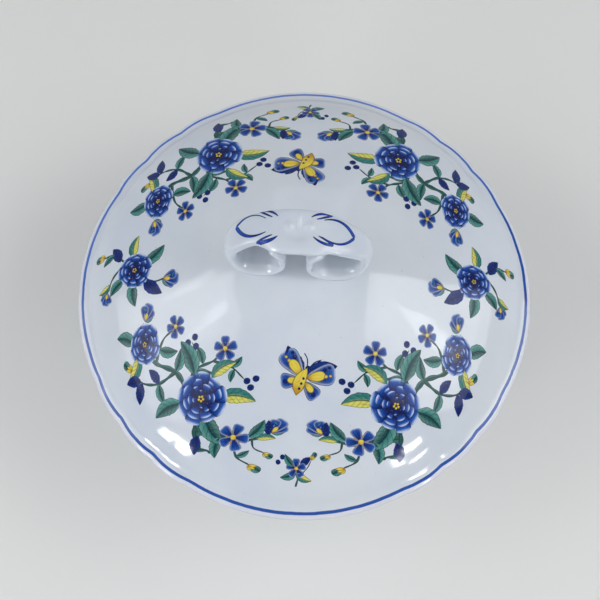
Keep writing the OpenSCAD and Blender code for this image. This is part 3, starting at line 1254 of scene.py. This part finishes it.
moth = {
    # on each side: family, motif, mm out, mm up, degrees it spreads from straight ahead, size, lift
    "wings": [("blue", "leafBlue", 0.3, 0.8, 52, 8.6, 0.03), ("blue", "roundPetal", 0.3, 0.6, 62, 8.0, 0.04),
              ("blue", "roundPetal", 0.3, -0.4, 118, 5.6, 0.03),
              ("yellow", "calyx", 0.6, 0.6, 60, 5.0, 0.062), ("yellow", "calyx", 0.6, -0.4, 118, 3.4, 0.066)],
    # on each side: family, motif, mm along the wing, degrees, mm up, size, lift
    "spots": [("yellow", "dot", 5.4, 66, 0.6, 1.1, 0.066), ("blue", "berry", 5.4, 48, 0.6, 1.1, 0.066),
              ("yellow", "dot", 6.6, 66, 0.6, 0.9, 0.066), ("blue", "berry", 6.6, 48, 0.6, 0.9, 0.066),
              ("blue", "berry", 4.3, 120, -0.4, 1.3, 0.07)],
    "feeler": [(0.2, 2.8), (1.0, 5.0), (2.4, 6.2)],
    # family, motif, mm up, degrees, size, lift
    "body": [("yellow", "sepal", -4.6, 90, 7.8, 0.074), ("blue", "berry", -2.6, 90, 0.7, 0.082),
             ("blue", "berry", -1.2, 90, 0.7, 0.082), ("blue", "berry", 0.2, 90, 0.7, 0.082),
             ("blue", "berry", 3.0, 0, 1.5, 0.078)],
}


def openMoth(sheet):
    for side in (-1, 1):
        for family, motif, out, up, spread, size, lift in moth["wings"]:
            stamp(sheet, family, motif, out * side, up, 90 - side * spread, size, lift)
        feeler = curveThrough([(x * side, y) for x, y in moth["feeler"]], 0.5)
        sheet["blue"].append(ribbon("feeler", feeler, lambda t: 0.14, blueColour, 0.05))
        for family, motif, along, spread, up, size, lift in moth["spots"]:
            way = radians(90 - side * spread)
            x = side * 0.3 + along * cos(way)
            stamp(sheet, family, motif, x, up + along * sin(way), 0, size, lift)
    for family, motif, up, angle, size, lift in moth["body"]:
        stamp(sheet, family, motif, 0, up, angle, size, lift)


drawings = {
    # a flowering branch, drawn with the lid's edge below it and the handle above it
    "spray": [
        (stem, 3.6, 1.0, (-15, -21), (-10, -14), (-4, -6), (5, -2), (14, 0), (24, -4), (33, -4), (41, 2)),
        (stem, 2.8, 0.9, (-10, -14), (-18, -10), (-26, -8), (-33, -3), (-37, 3)),
        (stem, 1.8, 0.7, (5, -2), (7, 7), (3, 15), (2, 21)),
        (stem, 1.4, 0.6, (24, -4), (28, 5), (27, 12)),
        (stem, 1.4, 0.6, (-26, -8), (-31, -14), (-38, -15)),
        (stem, 1.6, 0.6, (14, 0), (17, -9), (24, -15), (32, -16)),
        (stem, 1.1, 0.5, (3, 15), (-5, 18), (-13, 17)),
        (stem, 0.9, 0.45, (7, 7), (11, 12), (16, 14.5)),
        (stem, 2.0, 0.8, (-15, -21), (-19, -18.5), (-21, -19)),
        (stem, 0.9, 0.45, (-32, -4), (-35, -7), (-40, -7)),
        (leaves,
         ("plain", -8, -5, 204, 17), ("two", -9, 4, 152, 16), ("plain", 3, -8, -66, 15),
         ("plain", 6, 5, 22, 16), ("two", -1, 9, 112, 13), ("blue", -12, -15, -112, 9.5),
         ("plain", 14, 0, 62, 10), ("two", 33, -8, -104, 13), ("plain", 38, -7, -34, 12),
         ("plain", 27, 1, 142, 10), ("blue", 24, -15, -120, 9.5), ("blue", 25, -15, -52, 9),
         ("plain", -20, -10, -112, 10.5), ("plain", -30, -4, 96, 10.5), ("two", -33, -3, 150, 8),
         ("plain", 7, 7, 150, 8), ("plain", 6, 11, 28, 8), ("plain", -5, 18, 100, 6.5),
         ("plain", -7, 18, -110, 6), ("plain", 17, -9, -150, 9), ("blue", -36, 1, 60, 7.0),
         ("blue", 17, -9, 4, 8), ("plain", -31, -14, 120, 6)),
        (rose, -3, -1, 11.4, 12),
        (rose, 34, -3, 8.4, 40),
        (blossom, -25, -7, 6.6, 10),
        (blossom, 2, 22.5, 5.6, 50),
        (blossom, 27, 13.5, 5.0, 20),
        (bud, -37, 2.5, 98, 7.8),
        (bud, 41, 3, 62, 7.6),
        (greenBud, -37.5, -15, 190, 6.2),
        (greenBud, 31.5, -16, -8, 6.2),
        (greenBud, -39.5, -7, 190, 4.6),
        (berries, 3.0, (-14.5, 17), (-17, 20), (-17.5, 15.5), (13.5, 14.5), (16.5, 17), (17.5, 13)),
    ],
    # one open flower with its leaves and buds, for the lid's sides
    "posy": [
        (stem, 1.6, 0.7, (-2, 2), (4, -5), (9, -12), (9, -19)),
        (stem, 1.4, 0.6, (-2, 2), (-6, 9), (-5, 15)),
        (stem, 1.3, 0.5, (4, -5), (-2, -11), (-9, -14)),
        (leaves,
         ("plain", 3, 4, 48, 12), ("blue", -5, 5, 128, 11), ("plain", -6, 0, 176, 11),
         ("two", 6, -1, 2, 11), ("plain", -4, -5, 226, 10), ("blue", 5, -8, -38, 9.5),
         ("plain", 9, -12, -128, 7.5), ("two", -5, -12.5, -120, 8)),
        (rose, 0, 0, 8.2, 24),
        (bud, -5, 14, 96, 7.6),
        (greenBud, 9, -18, -92, 6.4),
        (bud, -9, -14, 196, 6.2),
    ],
    # a small spray of one blossom, for the places between
    "sprig": [
        (stem, 0.9, 0.6, (0, -8), (1, -3), (0, 1)),
        (stem, 0.6, 0.35, (1, -3), (5, 1), (7, 5)),
        (leaves,
         ("plain", 0, -1, 200, 8), ("two", 0, -1, -28, 8.5), ("plain", -1, 2, 128, 7),
         ("blue", 2, 2, 40, 6.5)),
        (blossom, 0, 1, 4.8, 90),
        (greenBud, 7, 5, 60, 4),
        (berries, 2.4, (-6.5, 6), (-8.5, 3.5)),
    ],
    # a plain moth
    "moth": [(openMoth,)],
}


def drawFlat(name):
    # draws a sheet and joins its pieces by colour family
    sheet = {family: [] for family in ("blue", "green", "yellow")}
    for tool, *given in drawings[name]:
        tool(sheet, *given)
    return {family: joinPieces(parts, family) for family, parts in sheet.items() if parts}


# the flat drawings laid on the lid and the bowl
lay = {
    "gap": 0.03,            # from the glaze to the lowest layer, in mm
    "thick": 0.10,
    "bend": 0.55,           # how far a spray bends to follow the edge
    "keepSharp": 35,
}


def copyFlat(flat, name, mirrored):
    piece = addObject(name, flat.data.copy())
    if mirrored:
        piece.data.transform(Matrix.Scale(-1, 4, (1, 0, 0)))
        piece.data.flip_normals()
    return piece


def ontoLid(run, turn):
    # from a flat drawing to the lid: run is how far from its middle the drawing's origin lies
    def spot(u, v, lift):
        v += lay["bend"] * u * u / (2 * run)
        point, face = pointAtRun(lidSection, lidRuns, hypot(u, run - v))
        point = point + face * (lay["gap"] + lift)
        angle = atan2(v - run, u) + radians(turn)
        return point.x - lobeShift(lid["edge"], point.x, angle), point.y, angle

    return spot


def ontoBowl(run, turn):
    # the same on the bowl's wall, whose section runs up from the foot
    around = pointAtRun(bowlSection, bowlRuns, run)[0].x

    def spot(u, v, lift):
        point, face = pointAtRun(bowlSection, bowlRuns, run + v)
        point = point - face * (lay["gap"] + lift)
        return point.x, point.y, u / around + radians(turn - 90)

    return spot


def layFlat(piece, spot, tilt, size):
    spin = Matrix.Rotation(radians(tilt), 3, "Z") * size
    for vertex in piece.data.vertices:
        u, v, lift = spin @ Vector((vertex.co.x, vertex.co.y, 0)) + Vector((0, 0, vertex.co.z))
        r, height, angle = spot(u, v, lift)
        vertex.co = (r * cos(angle) * mm, r * sin(angle) * mm, height * mm)


def finishPrint(piece, family, body):
    sheet = piece.modifiers.new("printThickness", "SOLIDIFY")
    sheet.thickness = lay["thick"] * mm
    sheet.offset = -1
    applyModifiers(piece)
    smoothShade(piece, lay["keepSharp"])
    piece.data.materials.append(inks[family])
    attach(piece, body)


inkLooks = {
    "blue": {"Outline": ink(6, 16, 62), "Streaks Along": 1.4, "Streaks Across": 6.0},
    "green": {"Outline": ink(2, 34, 40), "Streaks Along": 2.0, "Streaks Across": 3.0,
              "Veins": 6.0, "Vein Depth": 1.0},
    "yellow": {"Outline": ink(96, 72, 20), "Streaks Along": 1.2, "Streaks Across": 4.0},
}
inks = {family: inkMaterial(family + "Print", look) for family, look in inkLooks.items()}
flats = {name: drawFlat(name) for name in drawings}
onto = {"lid": ontoLid, "bowl": ontoBowl}
places = [
    # body, drawing, size, and of each copy: run outwards, turn from the front, tilt, mirrored
    ("lid", "spray", 1.05, [(77, 38, 0, False), (77, 142, 0, True), (77, 218, 0, False), (77, 322, 0, True)]),
    ("lid", "moth", 1.75, [(54, 2, -24, False), (56, 182, -30, False)]),
    ("lid", "posy", 1.1, [(83, 90, 0, False), (83, 270, 0, True)]),
    ("lid", "sprig", 1.0, [(95, 0, 0, False), (95, 180, 0, False)]),
    ("bowl", "spray", 1.0, [(47, 0, 0, False), (47, 90, 0, True), (47, 180, 0, False), (47, 270, 0, True)]),
    ("bowl", "moth", 1.1, [(54, 45, -20, False), (50, 135, 24, False), (54, 225, -20, False),
                           (50, 315, 24, False)]),
]
for body, drawing, size, copies in places:
    for number, (run, turn, tilt, mirrored) in enumerate(copies, 1):
        label = body + drawing.capitalize() + str(number)
        for family, flat in flats[drawing].items():
            piece = copyFlat(flat, label + family.capitalize(), mirrored)
            layFlat(piece, onto[body](run, turn), tilt, size)
            finishPrint(piece, family, body)
for flat in [piece for group in flats.values() for piece in group.values()]:
    bpy.data.objects.remove(flat)
print("prints laid")


# brush strokes on the handle
brush = {
    "fresh": ink(34, 84, 184),
    "colour": ink(24, 62, 160),
    "dabLength": 9.0,
    "drop": 5.0,            # a place farther down than this isn't on the strap's top
    "thick": 1.15,          # the width for a load of 1
    "thin": 0.35,
    "gap": 0.05,            # from the glaze to the first stroke
    "rise": 0.006,          # each stroke lies this much above the one before it
    "rows": 6,
    "points": 24,           # along a stroke
    "swell": 1.3,
    "startShare": 0.05,     # the share of a stroke over which its start rounds out
    "least": 0.08,          # the least width
    "dabIn": 0.3,           # mm from a dab's place in to the line between its ends
    "dabInner": (0.55, 1.5),    # where its inner stroke ends: a share of the way on, and mm in
    "dabStart": 0.9,            # load at a dab's start, and all along its inner stroke
    "dabInnerLoad": 0.8,
    "dabInnerBulge": -0.2,
    # side, load at the start and middle of the back and the front stroke, which way they bulge
    "strokes": [("left", (0.9, 0.4), (1.3, 1.2), 1), ("right", (1.3, 1.1), (1.0, 0.8), -1)],
    "bulges": (3.0, -3.4),      # of the back and the front stroke, in mm
    # name, the way it points in degrees, the side it bulges to, load
    "dabs": [("leftDabBack", -24, 1, 1.15), ("leftDabFront", 13, -1, 1.9),
             ("rightDabBack", 193, -1, 1.15), ("rightDabFront", 162, 1, 1.15)],
}


def strokeColour(t, c, edge):
    return blendOf(brush["fresh"], brush["colour"], smoothStep(0.0, 0.6, t))


def bend(start, end, bulge):
    # an arc-like curve between two places in the plan, bulging to one side
    a, b = Vector((start.x, start.y)) / mm, Vector((end.x, end.y)) / mm
    side = Vector((a.y - b.y, b.x - a.x)).normalized()
    middle = (a + b) / 2 + side * bulge * 2
    shares = [i / brush["points"] for i in range(brush["points"] + 1)]
    return [(1 - t) ** 2 * a + 2 * t * (1 - t) * middle + t * t * b for t in shares]


def taper(start, middle, end):
    # half the width of a stroke that starts round and runs out thin
    def half(t):
        width = start * (1 - t) ** 2 + middle * 2 * t * (1 - t) * brush["swell"] + end * t * t
        return max(width * min(t / brush["startShare"] + 0.2, 1) ** 0.5, brush["least"]) / 2

    return half


def paintStrokes():
    tree = BVHTree.FromObject(handleBody, bpy.context.evaluated_depsgraph_get())
    at = {name: placeOn(camera, tree, name) for name in imagePoints if "Stroke" in name or "Dab" in name}
    parts = []
    marked = {name: [] for name in at}          # the vertices that belong to each image point

    def stroke(curve, halfWidths, start=None, end=None, whole=None):
        before = sum(len(part.data.vertices) for part in parts)
        piece = ribbon("stroke", curve, halfWidths, strokeColour, brush["rise"] * len(parts), brush["rows"])
        parts.append(piece)
        run = [item.vector[0] for item in piece.data.attributes["motif"].data]
        for name, wanted in ((start, lambda r: r < 0.01), (end, lambda r: r > max(run) - 0.01),
                             (whole, lambda r: True)):
            if name:
                marked[name] += [before + i for i, r in enumerate(run) if wanted(r)]

    thick = brush["thick"]
    thin = brush["thin"]
    for side, backLoad, frontLoad, way in brush["strokes"]:
        tip = side + "StrokeTip"
        for end, load, bulge in zip(("Back", "Front"), (backLoad, frontLoad), brush["bulges"]):
            arm = side + "Stroke" + end
            stroke(bend(at[tip], at[arm], bulge * way), taper(thick * load[0], thick * load[1], thin),
                   start=tip, end=arm)
    for name, way, side, load in brush["dabs"]:
        turn = radians(way)
        ahead = Vector((cos(turn), sin(turn), 0)) * brush["dabLength"] / 2 * mm
        across = Vector((-sin(turn), cos(turn), 0)) * mm * side
        root = at[name] - ahead - across * brush["dabIn"]
        tip = at[name] + ahead - across * brush["dabIn"]
        share, inwards = brush["dabInner"]
        inner = at[name] + ahead * share - across * inwards
        stroke(bend(root, tip, side), taper(thick * brush["dabStart"], thick * load, thin), whole=name)
        even = thick * brush["dabInnerLoad"]
        stroke(bend(root, inner, side * brush["dabInnerBulge"]), taper(even, even, thin), whole=name)
    piece = joinPieces(parts, "handleStrokes")
    for vertex in piece.data.vertices:
        over = Vector((vertex.co.x * mm, vertex.co.y * mm, handle["top"] * mm + 0.01))
        near = min(at.values(), key=lambda p: (p.xy - over.xy).length)
        place, normal = tree.ray_cast(over, Vector((0, 0, -1)))[:2]
        if place is None or place.z < near.z - brush["drop"] * mm:      # past the strap's edge
            place, normal = tree.find_nearest(Vector((over.x, over.y, near.z)))[:2]
        vertex.co = place + normal * (brush["gap"] + vertex.co.z) * mm
    ends = {name: [piece.data.vertices[i].co.copy() for i in marked[name]] for name in marked}
    finishPrint(piece, "blue", "lid")
    return ends


strokeEnds = paintStrokes()
print("strokes painted")


stage = {
    "floor": ink(236, 235, 232),
    "patch": 0.03,          # how much darker the floor is in patches
    "patchScale": 3,
    "size": 40.0,
    "fade": (0.35, 1.0),     # metres from the middle
    "world": ink(233, 238, 244),
    "worldStrength": 0.35,
    "worldSeen": 0.74,
    "lamp": (0.97, 0.985, 1.0),
    "aim": Vector((0, 0, 0.09)),
    "fill": (1.6, 0.8, 0.8, 0.08),      # distance, width, height, brightness
    "fillWay": (0, 0.35, 1),            # seen from the camera
    "glint": 10,            # how much brighter still the windows are mirrored than they light
}
panels = [
    # name, azimuth, elevation, distance, width, height, brightness
    ("windowLeftA", -51, 12, 1.3, 0.10, 0.27, 14),
    ("windowLeftB", -43.5, 13.5, 1.3, 0.12, 0.29, 14),
    ("windowLeftC", -47.5, 17.5, 1.3, 0.10, 0.09, 12),
    ("windowRightA", 43.8, 24, 1.3, 0.18, 0.10, 16),
    ("windowRightB", 37, 17.5, 1.3, 0.06, 0.23, 13),
    ("windowRightC", 44, 9, 1.3, 0.17, 0.08, 14),
    ("curtainLeft", -79, 38, 1.5, 1.22, 1.0, 1.6),
    ("curtainLeftInner", -86, 41, 1.45, 0.72, 0.5, 0.9),
    ("paneLeftA", -82.5, 43, 1.4, 0.21, 0.13, 3.2),
    ("paneLeftB", -86, 49.5, 1.4, 0.14, 0.08, 2.4),
    ("paneLeftC", -107, 41.5, 1.4, 0.20, 0.06, 2.2),
    ("curtainRight", 86, 39, 1.5, 1.10, 1.05, 2.1),
    ("curtainRightInner", 92, 42, 1.45, 0.80, 0.60, 1.0),
    ("paneRightA", 91.5, 46, 1.4, 0.20, 0.09, 3.0),
    ("paneRightB", 87, 41.5, 1.4, 0.12, 0.17, 3.2),
    ("softBack", 178, 34, 1.6, 0.9, 0.5, 0.6),
]


def seenRays(tree):
    # one for the rays that show the backdrop, straight or mirrored
    path = addNode(tree, "LightPath", {})
    seen = addMath(tree, "MAXIMUM", path.outputs["Is Camera Ray"], path.outputs["Is Glossy Ray"])
    return addMath(tree, "MAXIMUM", seen, path.outputs["Is Transmission Ray"])


def backdropStrength(tree):
    # weak where it lights the object, bright where it is seen
    extra = addProduct(tree, seenRays(tree), stage["worldSeen"] - stage["worldStrength"])
    return addSum(tree, extra, stage["worldStrength"])


def makeStage():
    bpy.ops.mesh.primitive_plane_add(size=stage["size"])
    floor = justAdded("floor")
    material, tree, shader = newMaterial("paleFloor")
    place = objectPlace(tree)
    shade = blendOf(stage["floor"], (0, 0, 0), stage["patch"])
    colour = addMix(tree, addNoise(tree, place, stage["patchScale"]), shade, stage["floor"])
    away = addNode(tree, "VectorMath", {0: place}, operation="LENGTH").outputs["Value"]
    far = addRamp(tree, away, *stage["fade"])     # there it runs out into the backdrop
    fill(tree, shader.inputs, {
        "Base Color": addMix(tree, far, colour, (0, 0, 0)), "Roughness": 1.0, "Specular IOR Level": 0.0,
        "Emission Color": stage["world"], "Emission Strength": addProduct(tree, far, backdropStrength(tree))})
    floor.data.materials.append(material)
    world = bpy.data.worlds.new("room")
    world.use_nodes = True
    tree = world.node_tree
    back = {"Color": stage["world"], "Strength": backdropStrength(tree)}
    fill(tree, tree.nodes["Background"].inputs, back)
    bpy.context.scene.world = world


def hangLamp(name, way, distance, width, height, brightness):
    data = bpy.data.lights.new(name, "AREA")
    data.shape = "RECTANGLE"
    data.size = width
    data.size_y = height
    data.energy = brightness * pi * width * height
    data.color = stage["lamp"]
    lamp = addObject(name, data)
    lamp.location = stage["aim"] + way * distance
    lamp.rotation_euler = way.to_track_quat("Z", "Y").to_euler()
    lamp.visible_camera = False
    return lamp


def hangLamps():
    for name, azimuth, elevation, *rest in panels:
        way = wayTo(azimuth, elevation)
        hangLamp(name, way, *rest)
        if "window" in name:
            glint = hangLamp(name + "Glint", way, *rest)
            glint.data.energy *= stage["glint"]
            glint.visible_diffuse = False
    # a broad weak fill from the camera's side, which nothing mirrors
    way = camera.matrix_world.to_3x3() @ Vector(stage["fillWay"]).normalized()
    hangLamp("frontFill", way, *stage["fill"]).visible_glossy = False


makeStage()
hangLamps()
bpy.context.scene.view_settings.view_transform = "Standard"
print("floor and light set")


def outlineEnds(points):
    # the outermost places of the object in the image
    xs = [p[0] for p in points]
    ys = [p[1] for p in points]
    return {"outlineLeft": (min(xs), None), "outlineRight": (max(xs), None),
            "outlineTop": (None, min(ys)), "outlineBottom": (None, max(ys))}


def middleShown(parts, short=0.5 * mm):
    # the middle of the places that a ray from the camera reaches, stopping that short of each
    eye = camera.matrix_world.translation
    places = []
    for place in parts:
        ahead = place - eye
        if handleTree.ray_cast(eye, ahead.normalized(), ahead.length - short)[0] is None:
            places.append(imagePlace(camera, place))
    return tuple(sum(values) / len(places) for values in zip(*places))


bpy.context.view_layer.update()
handleTree = BVHTree.FromObject(handleBody, bpy.context.evaluated_depsgraph_get())
shown = outlineEnds([imagePlace(camera, v.co) for v in lidBody.data.vertices])
handleSeen = [imagePlace(camera, v.co) for v in handleBody.data.vertices]
shown["handleLeft"] = min(handleSeen)
shown["handleRight"] = max(handleSeen)
shown["handleBack"] = min(handleSeen, key=lambda p: p[1])
between = (shown["handleLeft"][0] + shown["handleRight"][0]) / 2
shown["leftRingBottom"] = max([p for p in handleSeen if p[0] < between], key=lambda p: p[1])
shown["rightRingBottom"] = max([p for p in handleSeen if p[0] > between], key=lambda p: p[1])
for name, parts in strokeEnds.items():
    shown[name] = middleShown(parts)
